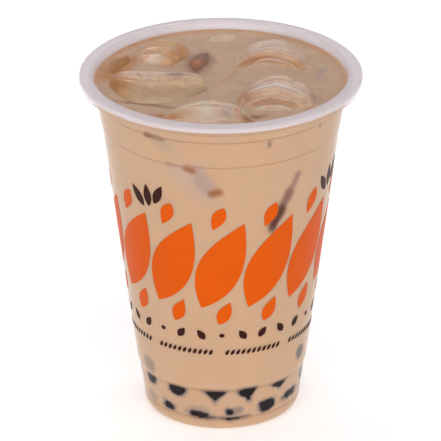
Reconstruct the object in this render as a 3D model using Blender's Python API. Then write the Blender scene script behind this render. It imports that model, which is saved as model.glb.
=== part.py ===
# Iced milk tea with tapioca pearls in a clear plastic cup: cup, tea, bed of pearls and floating ice.
# Metres, +Z up. The origin is the middle of the foot's flat underside, where the cup stands.

import math
import random

import bmesh
import bpy
from mathutils import Euler, Matrix, Vector

MM = 0.001

# Turned pieces: points round the axis, and the gap between neighbouring pieces.
AROUND = 48
GAP = 0.3 * MM

# Points closer than this are one point. Edges sharper than this, in degrees, stay crisp.
MERGE = 0.001 * MM
SHARP_ANGLE = 40.0

# Rim: a flange that slopes down from its inner crest to a short turned-down skirt.
RIM_RADIUS = 47.5 * MM
CUP_HEIGHT = 121.4 * MM
CREST_RADIUS = 43.4 * MM
RIM_EDGE_HEIGHT = 120.9 * MM
RIM_EDGE_ROUND = 0.9 * MM
SKIRT_FOOT_HEIGHT = 118.3 * MM
RIM_THICKNESS = 0.8 * MM
RIM_ARC_END = 75.0
RIM_POINTS = 3

# Wall: the outer radius at each height where its slope changes, from the flange down.
WALL = 0.7 * MM
NECK_RADIUS, NECK_HEIGHT = 43.1 * MM, 119.8 * MM
UPPER_BEAD_RADIUS, UPPER_BEAD_HEIGHT = 41.95 * MM, 114.0 * MM
SHOULDER_RADIUS, SHOULDER_HEIGHT = 41.7 * MM, 113.0 * MM
STACK_STEP_TOP_RADIUS, STACK_STEP_TOP_HEIGHT = 40.2 * MM, 103.9 * MM
STACK_STEP_RADIUS, STACK_STEP_HEIGHT = 39.8 * MM, 102.6 * MM
LOWER_STEP_TOP_RADIUS, LOWER_STEP_TOP_HEIGHT = 28.65 * MM, 17.8 * MM
LOWER_STEP_RADIUS, LOWER_STEP_HEIGHT = 27.95 * MM, 16.0 * MM

# Foot: a rounded heel that runs into a flat ring round a raised underside, all as thin as the wall. On
# the inside, the slope up from the ring stands further out.
HEEL_RADIUS, HEEL_HEIGHT = 26.4 * MM, 4.6 * MM
FOOT_OUTER_RADIUS = 23.0 * MM
FOOT_INNER_RADIUS = 20.0 * MM
RECESS_RADIUS, RECESS_HEIGHT = 19.0 * MM, 1.5 * MM
FLOOR_HEIGHT = RECESS_HEIGHT + WALL
FLOOR_SHIFT = 0.5 * MM
HEEL_POINTS = 3

# Tea, up to the level that the photo shows.
TEA_LEVEL = 117.8 * MM

# Tapioca pearls: a hidden core, and pearls pressed flat against the wall in rings. Each pearl is spun
# on its own pole by an angle that follows its height, so that neighbours don't look alike.
PEARL_RADIUS = 4.3 * MM
PEARL_PRESS = 1.0 * MM
CORE_INSET = 3.4 * MM
CORE_TOP_HEIGHT = 21.0 * MM
CORE_AROUND = 24
PEARL_SIDES = 8
PEARL_ROWS = 6
PEARL_SEED = 7
PEARL_ANGLE_SPREAD = 1.8
PEARL_HEIGHT_SPREAD = 0.7 * MM
PEARL_SIZE_SPREAD = 0.05
PEARL_SPIN = 0.9 / MM

# Each ring: how many pearls, the height of their middles, and the first one's angle from the front
# and the step to the next, in degrees.
PEARL_RINGS = (
    {"count": 14, "height": 7.9 * MM, "first": 8.0, "step": 360 / 14},
    {"count": 14, "height": 15.0 * MM, "first": -6.0, "step": 360 / 14},
    {"count": 6, "height": 22.3 * MM, "first": 63.7, "step": 47.6},
)

# Ice, each piece by the place of its middle, its length, depth and thickness in millimetres, the cuts
# that each of its edges gets, how far its top stands out of the tea, its turn about the vertical and
# its tip about its length in degrees, and how far its far side is rounded off into a half moon and its
# near side hollowed, as shares of half its depth.
ICE_PIECES = {
    "ice_left_slab": {
        "x": -21.5, "y": -7.3, "length": 34.0, "depth": 27.0, "thick": 12.0, "cuts": 3,
        "rise": 2.2, "turn": 175.0, "tip": -3.0, "moon": 0.32, "hollow": 0.0,
    },
    "ice_back_left": {
        "x": -19.4, "y": 22.6, "length": 17.0, "depth": 20.5, "thick": 13.0, "cuts": 3,
        "rise": 2.8, "turn": -18.0, "tip": 5.0, "moon": 0.12, "hollow": 0.0,
    },
    "ice_wall_left": {
        "x": -34.5, "y": 13.7, "length": 18.5, "depth": 6.2, "thick": 11.0, "cuts": 2,
        "rise": 0.7, "turn": 70.0, "tip": 0.0, "moon": 0.45, "hollow": 0.0,
    },
    "ice_middle_chip": {
        "x": -7.6, "y": 15.6, "length": 18.0, "depth": 7.5, "thick": 10.0, "cuts": 2,
        "rise": 0.8, "turn": 77.0, "tip": 0.0, "moon": 0.45, "hollow": 0.0,
    },
    "ice_back_chip": {
        "x": 0.7, "y": 35.6, "length": 11.0, "depth": 6.5, "thick": 9.0, "cuts": 2,
        "rise": 0.8, "turn": 2.0, "tip": 0.0, "moon": 0.10, "hollow": 0.0,
    },
    "ice_back_right": {
        "x": 17.8, "y": 17.2, "length": 27.5, "depth": 28.5, "thick": 12.0, "cuts": 3,
        "rise": 2.4, "turn": -7.0, "tip": 3.0, "moon": 0.45, "hollow": 0.28,
    },
    "ice_front_right": {
        "x": 18.7, "y": -12.0, "length": 28.0, "depth": 29.5, "thick": 12.0, "cuts": 3,
        "rise": 2.4, "turn": -5.0, "tip": 3.0, "moon": 0.42, "hollow": 0.0,
    },
    "ice_front": {
        "x": -4.0, "y": -28.7, "length": 33.0, "depth": 17.5, "thick": 12.0, "cuts": 3,
        "rise": 2.5, "turn": -2.0, "tip": 4.0, "moon": 0.70, "hollow": 0.0,
    },
}

# How square the ice's outline and its rims are, from 2 for round upwards, and how uneven it has melted.
ICE_OUTLINE = 2.7
ICE_RIM = 5.0
ICE_MELT = 0.2 * MM
ICE_SEED = 11


def clear_scene():
    for item in list(bpy.data.objects):
        bpy.data.objects.remove(item, do_unlink=True)


def material(name, colour, roughness, transmission=0.0, alpha=1.0, ior=1.45):
    made = bpy.data.materials.new(name)
    made.use_nodes = True
    shader = made.node_tree.nodes["Principled BSDF"]
    shader.inputs["Base Color"].default_value = (*colour, 1.0)
    shader.inputs["Roughness"].default_value = roughness
    shader.inputs["Metallic"].default_value = 0.0
    shader.inputs["Transmission Weight"].default_value = transmission
    shader.inputs["Alpha"].default_value = alpha
    shader.inputs["IOR"].default_value = ior
    made.diffuse_color = (*colour, alpha)
    return made


def plastic_material():
    tint = (0.82, 0.80, 0.83)
    return material("moulded_polypropylene", tint, 0.18, transmission=0.85, alpha=0.4, ior=1.49)


def tea_material():
    return material("milk_tea", (0.55, 0.34, 0.20), 0.12, ior=1.34)


def pearl_material():
    return material("tapioca", (0.015, 0.011, 0.010), 0.25)


def ice_material():
    return material("wet_ice", (0.72, 0.62, 0.54), 0.05, transmission=0.9, alpha=0.7, ior=1.31)


def mesh_object(name, shape, finish):
    """A new scene object from a bmesh, which is freed."""
    mesh = bpy.data.meshes.new(name)
    shape.to_mesh(mesh)
    shape.free()
    made = bpy.data.objects.new(name, mesh)
    bpy.context.scene.collection.objects.link(made)
    if finish:
        mesh.materials.append(finish)
    return made


def shade_round(target):
    target.data.shade_smooth()
    target.data.set_sharp_from_angle(angle=math.radians(SHARP_ANGLE))


def turned(name, profile, finish=None, around=AROUND):
    """A closed solid from a profile of (radius, height) points that starts and ends on the axis."""
    shape = bmesh.new()
    points = [shape.verts.new((radius, 0.0, height)) for radius, height in profile]
    edges = [shape.edges.new(pair) for pair in zip(points, points[1:])]
    bmesh.ops.spin(
        shape, geom=points + edges, cent=(0, 0, 0), axis=(0, 0, 1),
        angle=math.tau, steps=around, use_merge=True,
    )
    bmesh.ops.remove_doubles(shape, verts=shape.verts, dist=MERGE)
    bmesh.ops.recalc_face_normals(shape, faces=shape.faces)
    return mesh_object(name, shape, finish)


def arc(centre, radii, start, end, count):
    """Points along an elliptical arc, from the start angle to the end angle in degrees."""
    points = []
    for step in range(count + 1):
        angle = math.radians(start + (end - start) * step / count)
        points.append((centre[0] + radii[0] * math.cos(angle), centre[1] + radii[1] * math.sin(angle)))
    return points


def floor_profile(gap):
    """The inside of the raised floor, a gap above it, from the axis to the trough over the foot ring."""
    return [
        (0.0, FLOOR_HEIGHT + gap),
        (RECESS_RADIUS + FLOOR_SHIFT, FLOOR_HEIGHT + gap),
        (FOOT_INNER_RADIUS + FLOOR_SHIFT + gap, WALL + gap),
    ]


def wall_profile(inset):
    """The wall from its heel up to its neck, moved inwards by inset."""
    heel_centre = (FOOT_OUTER_RADIUS, HEEL_HEIGHT)
    radii = (HEEL_RADIUS - FOOT_OUTER_RADIUS - inset, HEEL_HEIGHT - inset)
    points = arc(heel_centre, radii, -90.0, 0.0, HEEL_POINTS)
    for radius, height in (
        (LOWER_STEP_RADIUS, LOWER_STEP_HEIGHT),
        (LOWER_STEP_TOP_RADIUS, LOWER_STEP_TOP_HEIGHT),
        (STACK_STEP_RADIUS, STACK_STEP_HEIGHT),
        (STACK_STEP_TOP_RADIUS, STACK_STEP_TOP_HEIGHT),
        (SHOULDER_RADIUS, SHOULDER_HEIGHT),
        (UPPER_BEAD_RADIUS, UPPER_BEAD_HEIGHT),
        (NECK_RADIUS, NECK_HEIGHT),
    ):
        points.append((radius - inset, height))
    return points


def rim_profile():
    """The rim from under its flange, round the skirt and over the crest."""
    edge_radius = RIM_RADIUS - RIM_EDGE_ROUND
    edge_height = RIM_EDGE_HEIGHT - RIM_EDGE_ROUND
    under_round = RIM_EDGE_ROUND - RIM_THICKNESS / 2
    crest_height = CUP_HEIGHT - RIM_THICKNESS
    return [
        (CREST_RADIUS + RIM_THICKNESS / 2, crest_height - RIM_THICKNESS / 4),
        (edge_radius, edge_height + under_round),
        (RIM_RADIUS - RIM_THICKNESS, edge_height),
        (RIM_RADIUS - RIM_THICKNESS, SKIRT_FOOT_HEIGHT),
        (RIM_RADIUS, SKIRT_FOOT_HEIGHT),
        *arc((edge_radius, edge_height), (RIM_EDGE_ROUND, RIM_EDGE_ROUND), 0.0, RIM_ARC_END, RIM_POINTS),
        (CREST_RADIUS + RIM_THICKNESS, CUP_HEIGHT - RIM_THICKNESS / 5),
        (CREST_RADIUS, CUP_HEIGHT),
        (CREST_RADIUS - RIM_THICKNESS / 2, CUP_HEIGHT - RIM_THICKNESS / 2),
    ]


def make_cup():
    underside = [(0.0, RECESS_HEIGHT), (RECESS_RADIUS, RECESS_HEIGHT), (FOOT_INNER_RADIUS, 0.0)]
    inside = floor_profile(0.0) + wall_profile(WALL)
    profile = underside + wall_profile(0.0) + rim_profile() + inside[::-1]
    shade_round(turned("cup", profile, plastic_material()))


def room_radius(height):
    """How far the contents reach from the axis at a height, a gap clear of the wall."""
    corners = wall_profile(WALL + GAP)
    for (low_radius, low), (high_radius, high) in zip(corners, corners[1:]):
        if low <= height <= high:
            return low_radius + (high_radius - low_radius) * (height - low) / (high - low)
    return corners[-1][0]


def contents_room(name, finish=None):
    """The whole space that the contents fill, from the cup's floor to the tea's level."""
    sides = [point for point in wall_profile(WALL + GAP) if point[1] < TEA_LEVEL]
    top = [(room_radius(TEA_LEVEL), TEA_LEVEL), (0.0, TEA_LEVEL)]
    return turned(name, floor_profile(GAP) + sides + top, finish)


def boolean(target, operation, cutters, finish=None):
    """Joins or cuts the target with the cutters in one step, and removes them."""
    group = bpy.data.collections.new("cutters")
    bpy.context.scene.collection.children.link(group)
    for item in cutters:
        bpy.context.scene.collection.objects.unlink(item)
        group.objects.link(item)
    step = target.modifiers.new("shape", "BOOLEAN")
    step.operation = operation
    step.operand_type = "COLLECTION"
    step.collection = group
    step.solver = "EXACT"
    graph = bpy.context.evaluated_depsgraph_get()
    done = bpy.data.meshes.new_from_object(target.evaluated_get(graph))
    target.modifiers.clear()
    target.data = done
    done.materials.clear()
    if finish:
        done.materials.append(finish)
    for item in cutters:
        bpy.data.objects.remove(item, do_unlink=True)
    bpy.data.collections.remove(group)


def keep_largest(target):
    """Drops loose scraps, and keeps the largest connected piece."""
    shape = bmesh.new()
    shape.from_mesh(target.data)
    bmesh.ops.remove_doubles(shape, verts=shape.verts, dist=MERGE)
    left = set(shape.verts)
    islands = []
    while left:
        edge_of = [left.pop()]
        island = set(edge_of)
        while edge_of:
            for edge in edge_of.pop().link_edges:
                for vertex in edge.verts:
                    if vertex in left:
                        left.remove(vertex)
                        island.add(vertex)
                        edge_of.append(vertex)
        islands.append(island)
    islands.sort(key=len)
    scraps = [vertex for island in islands[:-1] for vertex in island]
    bmesh.ops.delete(shape, geom=scraps, context="VERTS")
    shape.to_mesh(target.data)
    shape.free()


def pearl_places():
    """The middle and radius of each pearl against the wall, ring by ring."""
    draw = random.Random(PEARL_SEED)
    places = []
    for ring in PEARL_RINGS:
        for number in range(ring["count"]):
            angle = ring["first"] + ring["step"] * number
            angle = math.radians(angle - 90.0 + draw.uniform(-PEARL_ANGLE_SPREAD, PEARL_ANGLE_SPREAD))
            height = ring["height"] + draw.uniform(-PEARL_HEIGHT_SPREAD, PEARL_HEIGHT_SPREAD)
            radius = PEARL_RADIUS * (1.0 + draw.uniform(-PEARL_SIZE_SPREAD, PEARL_SIZE_SPREAD))
            reach = room_radius(height) - radius + PEARL_PRESS
            middle = Vector((reach * math.cos(angle), reach * math.sin(angle), height))
            places.append((middle, radius))
    return places


def pearl_shapes(grow):
    """One round solid for each pearl: with its radius grown, or else pressed flat against the wall."""
    shapes = []
    for middle, radius in pearl_places():
        shape = bmesh.new()
        outwards = Vector((middle.x, middle.y, 0.0)).to_track_quat("Z", "Y").to_matrix().to_4x4()
        spin = Matrix.Rotation(middle.z * PEARL_SPIN, 4, "Z")
        bmesh.ops.create_uvsphere(
            shape, u_segments=PEARL_SIDES, v_segments=PEARL_ROWS, radius=radius + grow,
            matrix=Matrix.Translation(middle) @ outwards @ spin,
        )
        if not grow:
            for vertex in shape.verts:
                out = math.hypot(vertex.co.x, vertex.co.y)
                pressed = min(1.0, room_radius(vertex.co.z) / out)
                vertex.co.x *= pressed
                vertex.co.y *= pressed
        shapes.append(mesh_object("pearl_shape", shape, None))
    return shapes


def core_shape(name, grow, lowest):
    """The bed's hidden middle, from lowest up to its top, some way in from the wall."""
    inset = CORE_INSET - grow
    top = CORE_TOP_HEIGHT + grow
    return turned(name, [
        (0.0, lowest),
        (FOOT_OUTER_RADIUS - inset, lowest),
        (room_radius(HEEL_HEIGHT) - inset, HEEL_HEIGHT),
        (room_radius(top) - inset, top),
        (0.0, top),
    ], around=CORE_AROUND)


def make_pearls():
    finish = pearl_material()
    bed = core_shape("pearls", 0.0, FLOOR_HEIGHT + GAP)
    boolean(bed, "UNION", pearl_shapes(0.0), finish)
    keep_largest(bed)
    shade_round(bed)


def rounded_block(corner):
    """Where a point on the two-unit cube goes on a block with a round outline and softly rounded rims."""
    across = max(abs(corner.x), abs(corner.y))
    outline = (abs(corner.x) ** ICE_OUTLINE + abs(corner.y) ** ICE_OUTLINE) ** (1 / ICE_OUTLINE)
    round_off = across / outline if outline else 1.0
    reach = (across ** ICE_RIM + abs(corner.z) ** ICE_RIM) ** (1 / ICE_RIM)
    return Vector((corner.x * round_off, corner.y * round_off, corner.z)) / reach


def ice_shape(name, piece, grow, finish=None):
    """A melted half moon of ice: a rounded block whose far side curves away towards its ends."""
    draw = random.Random(ICE_SEED + round(piece["length"] * piece["depth"]))
    shape = bmesh.new()
    bmesh.ops.create_cube(shape, size=2.0)
    bmesh.ops.subdivide_edges(shape, edges=shape.edges, cuts=piece["cuts"], use_grid_fill=True)
    half = Vector((piece["length"], piece["depth"], piece["thick"])) * MM / 2
    for vertex in shape.verts:
        unit = rounded_block(vertex.co)
        away = piece["moon"] * unit.x * unit.x * (unit.y + 1.0)
        hollow = piece["hollow"] * (1.0 - unit.x * unit.x) * (1.0 - unit.y)
        melt = 1.0 + draw.uniform(-1.0, 1.0) * ICE_MELT / half.z
        vertex.co = Vector((
            unit.x * half.x * melt,
            (unit.y * melt - away + hollow) * half.y,
            unit.z * half.z * melt,
        ))
    turn = Euler((math.radians(piece["tip"]), 0.0, math.radians(piece["turn"]))).to_matrix().to_4x4()
    bmesh.ops.transform(shape, matrix=turn, verts=shape.verts)
    top = max(vertex.co.z for vertex in shape.verts)
    lift = TEA_LEVEL + piece["rise"] * MM - top
    bmesh.ops.translate(shape, vec=(piece["x"] * MM, piece["y"] * MM, lift), verts=shape.verts)
    bmesh.ops.triangulate(shape, faces=shape.faces)
    bmesh.ops.recalc_face_normals(shape, faces=shape.faces)
    shape.normal_update()
    outward = [(vertex, vertex.normal.copy()) for vertex in shape.verts]
    for vertex, normal in outward:
        vertex.co += normal * grow
    return mesh_object(name, shape, finish)


def make_ice():
    finish = ice_material()
    for name, piece in ICE_PIECES.items():
        shade_round(ice_shape(name, piece, 0.0, finish))


def make_tea():
    finish = tea_material()
    tea = contents_room("tea")
    cutters = [core_shape("core_cutter", GAP, 0.0)]
    cutters += pearl_shapes(GAP)
    cutters += [ice_shape("ice_cutter", piece, GAP) for piece in ICE_PIECES.values()]
    boolean(tea, "DIFFERENCE", cutters, finish)
    keep_largest(tea)
    shade_round(tea)


clear_scene()
make_cup()
make_pearls()
make_ice()
make_tea()
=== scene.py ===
import math
import random
from collections import namedtuple

import bmesh
import bpy
from mathutils import Euler, Matrix, Vector, noise
from mathutils.bvhtree import BVHTree


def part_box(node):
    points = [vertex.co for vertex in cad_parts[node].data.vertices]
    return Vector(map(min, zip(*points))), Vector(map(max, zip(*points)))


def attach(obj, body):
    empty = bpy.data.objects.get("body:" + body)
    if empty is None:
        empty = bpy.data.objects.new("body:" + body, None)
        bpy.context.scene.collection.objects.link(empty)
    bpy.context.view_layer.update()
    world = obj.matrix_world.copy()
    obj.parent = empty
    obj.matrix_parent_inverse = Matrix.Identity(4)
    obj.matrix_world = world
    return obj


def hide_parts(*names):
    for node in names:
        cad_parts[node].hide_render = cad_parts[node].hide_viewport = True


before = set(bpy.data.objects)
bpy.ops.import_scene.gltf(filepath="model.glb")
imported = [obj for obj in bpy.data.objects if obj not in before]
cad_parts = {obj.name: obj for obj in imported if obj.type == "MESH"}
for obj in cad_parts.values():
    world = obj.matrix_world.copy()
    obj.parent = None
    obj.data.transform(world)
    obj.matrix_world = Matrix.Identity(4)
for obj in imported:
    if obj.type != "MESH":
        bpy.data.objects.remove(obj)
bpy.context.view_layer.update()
mm = 0.001
noise.seed_set(4)       # without it, vector noise differs from run to run


def toLinear(hexColour):
    # sRGB hex to the linear colour that Blender reads
    shares = [int(hexColour[place:place + 2], 16) / 255 for place in (1, 3, 5)]
    return Vector([share / 12.92 if share <= 0.04045 else ((share + 0.055) / 1.055) ** 2.4 for share in shares])


def smoothStep(value, low, high):
    # 0 below low, 1 above high, eased in between
    share = min(1.0, max(0.0, (value - low) / (high - low)))
    return share * share * (3.0 - 2.0 * share)


# Materials

def addNode(tree, kind, settings=None, links=None):
    # settings and links go by the node's own property or socket names, or by a socket's number
    node = tree.nodes.new(kind)
    for name, value in (settings or {}).items():
        if isinstance(name, str) and hasattr(node, name):
            setattr(node, name, value)
        else:
            node.inputs[name].default_value = value
    for name, source in (links or {}).items():
        tree.links.new(source, node.inputs[name])
    return node


def newMaterial(name, settings):
    material = bpy.data.materials.new(name)
    material.use_nodes = True
    tree = material.node_tree
    shader = tree.nodes["Principled BSDF"]
    for socket, value in settings.items():
        shader.inputs[socket].default_value = value
    return material, tree, shader


def softNoise(tree, wavelength, detail, distortion=0.0):
    # noise in the piece's own space whose lumps are one wavelength across
    place = addNode(tree, "ShaderNodeTexCoord").outputs["Object"]
    lumps = addNode(tree, "ShaderNodeTexNoise",
                    {"Scale": 1.0 / wavelength, "Detail": detail, "Distortion": distortion}, {"Vector": place})
    return lumps.outputs["Fac"]


def rippleSurface(tree, shader, wavelength, height, detail=2.0):
    lumps = softNoise(tree, wavelength, detail)
    bump = addNode(tree, "ShaderNodeBump", {"Strength": 1.0, "Distance": height}, {"Height": lumps})
    tree.links.new(bump.outputs["Normal"], shader.inputs["Normal"])


def mixColours(tree, shader, first, second, share):
    # between two linear colours; 6 and 7 are the Mix node's colour sockets
    shades = addNode(tree, "ShaderNodeMix",
                     {"data_type": "RGBA", 6: (*first, 1.0), 7: (*second, 1.0)}, {0: share})
    tree.links.new(shades.outputs[2], shader.inputs["Base Color"])


def cloudOwnColour(tree, shader, layerName, cloud, spread, dimmest, brightest):
    # the piece's own colour attribute, dimmed and brightened by a cloud of noise
    own = addNode(tree, "ShaderNodeVertexColor", {"layer_name": layerName})
    shade = addNode(tree, "ShaderNodeMapRange", {
        "From Min": 0.5 - spread, "From Max": 0.5 + spread, "To Min": dimmest, "To Max": brightest,
    }, {"Value": cloud})
    clouded = addNode(tree, "ShaderNodeVectorMath", {"operation": "SCALE"},
                      {0: own.outputs["Color"], "Scale": shade.outputs["Result"]})
    tree.links.new(clouded.outputs["Vector"], shader.inputs["Base Color"])


def letLampsThrough(tree, shader, tint):
    # lamps shine straight through to what is inside, tinted, as they do through thin clear walls
    output = tree.nodes["Material Output"]
    seen = addNode(tree, "ShaderNodeLightPath")
    clear = addNode(tree, "ShaderNodeBsdfTransparent", {"Color": (*tint, 1.0)})
    mix = addNode(tree, "ShaderNodeMixShader", {}, {
        "Fac": seen.outputs["Is Shadow Ray"], 1: shader.outputs["BSDF"], 2: clear.outputs["BSDF"],
    })
    tree.links.new(mix.outputs["Shader"], output.inputs["Surface"])


def polypropyleneMaterial():
    # Thermoformed polypropylene, drawn thin over the wall: almost clear, with a soft, slightly wavy gloss. It
    # bends light little here, as the drink behind takes away most of its shine.
    material, tree, shader = newMaterial("thin_polypropylene", {
        "Base Color": (1.0, 1.0, 1.0, 1.0), "Roughness": 0.15, "IOR": 1.18, "Specular IOR Level": 0.5,
        "Transmission Weight": 1.0,
    })
    rippleSurface(tree, shader, 9 * mm, 0.03 * mm)
    letLampsThrough(tree, shader, (1.0, 1.0, 1.0))
    return material


def rimMaterial():
    # The same polypropylene left thick in the rim, where its crystals make it milky with a cool grey cast.
    material, tree, shader = newMaterial("milky_polypropylene", {
        "Base Color": (*toLinear("#E6E1E3"), 1.0), "Roughness": 0.14, "IOR": 1.49,
        "Transmission Weight": 0.45,
    })
    rippleSurface(tree, shader, 7 * mm, 0.05 * mm)
    letLampsThrough(tree, shader, toLinear("#DAD3DA"))
    return material


def inkMaterial(name, hexColour):
    # Screen-printed ink: flat and opaque with little gloss, and a faint unevenness in its coat.
    material, tree, shader = newMaterial(name, {"Roughness": 0.4, "IOR": 1.5, "Specular IOR Level": 0.08})
    colour = toLinear(hexColour)
    mixColours(tree, shader, colour * 0.93, colour * 1.05, softNoise(tree, 6 * mm, 3.0))
    return material


def milkTeaMaterial(name, roughness, gloss, swirlLength, swirlDepth):
    # Milk tea: opaque and tan, since milk scatters light within a millimetre or two. Its open surface is wet
    # and glossy; behind the wall nothing glints, because plastic and tea bend light alike.
    material, tree, shader = newMaterial(name, {
        "Roughness": roughness, "IOR": 1.34, "Specular IOR Level": gloss, "Subsurface Weight": 1.0,
        "Subsurface Radius": (1.0, 0.6, 0.4), "Subsurface Scale": 0.8 * mm,
    })
    swirl = softNoise(tree, swirlLength, 4.0, 1.2)
    cloudOwnColour(tree, shader, "drinkColour", swirl, 0.25, 1.0 - swirlDepth, 1.0 + swirlDepth)
    rippleSurface(tree, shader, 5 * mm, 0.05 * mm)
    return material


def tapiocaMaterial():
    # Cooked tapioca in brown sugar: nearly black jelly, faintly clouded with grey-brown. Milk and wall wet it,
    # so that little glints.
    material, tree, shader = newMaterial("tapioca", {"Roughness": 0.3, "IOR": 1.4, "Specular IOR Level": 0.1})
    mixColours(tree, shader, toLinear("#110C0B"), toLinear("#2C2226"), softNoise(tree, 2.5 * mm, 4.0))
    return material


def iceMaterial():
    # Melting ice: clouded by the milk that runs over it, so it reads as wet tan glass; the lilac-grey on its
    # ridges is painted reflection.
    material, tree, shader = newMaterial("milky_ice", {
        "Roughness": 0.06, "IOR": 1.36, "Transmission Weight": 0.42, "Subsurface Weight": 0.6,
        "Subsurface Radius": (1.0, 0.7, 0.5), "Subsurface Scale": 1.5 * mm,
    })
    cloudOwnColour(tree, shader, "iceColour", softNoise(tree, 3.5 * mm, 4.0, 0.8), 0.2, 1.12, 1.42)
    rippleSurface(tree, shader, 2.2 * mm, 0.06 * mm, detail=3.0)
    return material


def bubbleMaterial():
    # Air bubbles in a film of tea: clear shells that catch the lamps.
    material, tree, shader = newMaterial("tea_film", {
        "Base Color": (*toLinear("#F3E3D4"), 1.0), "Roughness": 0.05, "IOR": 1.33, "Transmission Weight": 0.9,
    })
    letLampsThrough(tree, shader, toLinear("#F0E4DA"))
    rippleSurface(tree, shader, 0.8 * mm, 0.02 * mm)
    return material


# Mesh helpers

def meshOf(shape, name):
    mesh = bpy.data.meshes.new(name)
    shape.to_mesh(mesh)
    shape.free()
    return mesh


def intoScene(name, data):
    thing = bpy.data.objects.new(name, data)
    bpy.context.scene.collection.objects.link(thing)
    return thing


def addPiece(name, shape, materials, nodes, sharpAngle=60.0):
    # a finished piece at the origin, smooth except at its sharp edges, in place of the CAD nodes named
    mesh = meshOf(shape, name)
    for material in materials:
        mesh.materials.append(material)
    mesh.shade_smooth()
    mesh.set_sharp_from_angle(angle=math.radians(sharpAngle))
    piece = intoScene(name, mesh)
    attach(piece, "root")
    if nodes:
        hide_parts(*nodes)
    return piece


def turnedShape(profile, around):
    # a closed solid spun from (radius, height) points that start and end on the axis
    shape = bmesh.new()
    points = [shape.verts.new((radius, 0.0, height)) for radius, height in profile]
    edges = [shape.edges.new(pair) for pair in zip(points, points[1:])]
    bmesh.ops.spin(shape, geom=points + edges, cent=(0, 0, 0), axis=(0, 0, 1), angle=math.tau,
                   steps=around, use_merge=True)
    bmesh.ops.remove_doubles(shape, verts=shape.verts, dist=0.001 * mm)
    bmesh.ops.recalc_face_normals(shape, faces=shape.faces)
    return shape


def roundedProfile(points, reach, steps):
    # the same outline with each corner eased over a short reach
    eased = [points[0]]
    for before, corner, after in zip(points, points[1:], points[2:]):
        before, corner, after = Vector(before), Vector(corner), Vector(after)
        start = corner + (before - corner) * min(0.45, reach / max((before - corner).length, 1e-9))
        end = corner + (after - corner) * min(0.45, reach / max((after - corner).length, 1e-9))
        for step in range(steps + 1):
            share = step / steps
            eased.append(tuple(start.lerp(corner, share).lerp(corner.lerp(end, share), share)))
    eased.append(points[-1])
    return eased


def arcPoints(centre, radii, start, end, count):
    places = []
    for step in range(count + 1):
        angle = math.radians(start + (end - start) * step / count)
        places.append((centre[0] + radii[0] * math.cos(angle), centre[1] + radii[1] * math.sin(angle)))
    return places


# Cup

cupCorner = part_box("cup")[1]
cup = {
    "around": 192,
    "rimRadius": cupCorner.x,
    "height": cupCorner.z,
    "crestRadius": 43.4 * mm,
    "edgeHeight": 120.9 * mm,
    "edgeRound": 0.9 * mm,
    "skirtFoot": 118.3 * mm,
    "rimThickness": 0.8 * mm,
    "wall": 0.7 * mm,
    "heelRadius": 26.4 * mm,
    "heelHeight": 4.6 * mm,
    "heelSteps": 8,
    "footOuter": 23.0 * mm,
    "footInner": 20.0 * mm,
    "recessRadius": 19.0 * mm,
    "recessHeight": 1.5 * mm,
    "floorShift": 0.5 * mm,
    "milkyFrom": 119.5 * mm,    # the rim's milky plastic starts here, and lower down inside this radius
    "neck": 44.2 * mm,
    # the wall's corners are shown as fine lines of painted shade in the tea behind them
    "creases": (4.9 * mm, 16.1 * mm, 103.7 * mm, 113.3 * mm),     # corners of the wall that show as fine lines
    "cornerReach": 0.5 * mm,
    "cornerSteps": 4,
}
# Outer wall above the heel: lower step, cone, stacking step, shoulder bead and neck, as radius and height in mm.
wallCorners = ((27.95, 16.0), (28.65, 17.8), (39.8, 102.6), (40.2, 103.9), (41.7, 113.0), (41.95, 114.0),
               (42.78, 118.2), (43.1, 119.8))


def floorProfile(inset):
    # the inside of the raised floor from the axis out to the trough over the foot ring
    floorHeight = cup["recessHeight"] + inset
    return [(0.0, floorHeight), (cup["recessRadius"] + cup["floorShift"], floorHeight),
            (cup["footInner"] + cup["floorShift"], inset)]


def wallProfile(inset):
    # the wall's outline from the foot up, moved inwards by inset
    radii = (cup["heelRadius"] - cup["footOuter"] - inset, cup["heelHeight"] - inset)
    points = arcPoints((cup["footOuter"], cup["heelHeight"]), radii, -90.0, 0.0, cup["heelSteps"])
    points += [(radius * mm - inset, height * mm) for radius, height in wallCorners]
    return points


def wallRadius(height, inset=0.0):
    corners = wallProfile(inset)
    for (lowRadius, low), (highRadius, high) in zip(corners, corners[1:]):
        if low <= height <= high:
            return lowRadius + (highRadius - lowRadius) * (height - low) / (high - low)
    return corners[-1][0]


def makeCup():
    edgeRadius = cup["rimRadius"] - cup["edgeRound"]
    edgeHeight = cup["edgeHeight"] - cup["edgeRound"]
    thick = cup["rimThickness"]
    rim = [
        (cup["crestRadius"] + thick / 2, cup["height"] - 1.25 * thick),
        (edgeRadius, edgeHeight + cup["edgeRound"] - thick / 2),
        (cup["rimRadius"] - thick, edgeHeight),
        (cup["rimRadius"] - thick, cup["skirtFoot"]),
        (cup["rimRadius"], cup["skirtFoot"]),
        *arcPoints((edgeRadius, edgeHeight), (cup["edgeRound"], cup["edgeRound"]), 0.0, 75.0, 5),
        (cup["crestRadius"] + thick, cup["height"] - thick / 5),
        (cup["crestRadius"], cup["height"]),
        (cup["crestRadius"] - thick / 2, cup["height"] - thick / 2),
    ]
    underside = [(0.0, cup["recessHeight"]), (cup["recessRadius"], cup["recessHeight"]), (cup["footInner"], 0.0)]
    inside = floorProfile(cup["wall"]) + wallProfile(cup["wall"])
    outline = underside + wallProfile(0.0) + rim + inside[::-1]
    outline = roundedProfile(outline, cup["cornerReach"], cup["cornerSteps"])
    shape = turnedShape(outline, cup["around"])
    for face in shape.faces:
        middle = face.calc_center_median()
        atNeck = middle.z > cup["skirtFoot"] and middle.xy.length < cup["neck"]
        face.material_index = int(middle.z > cup["milkyFrom"] or atNeck)
    addPiece("clear_cup", shape, [polypropyleneMaterial(), rimMaterial()], ["cup"], 50.0)


# Print: a generic band of broad slanted leaves with small ones between, two brown rows and a few sprigs

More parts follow.
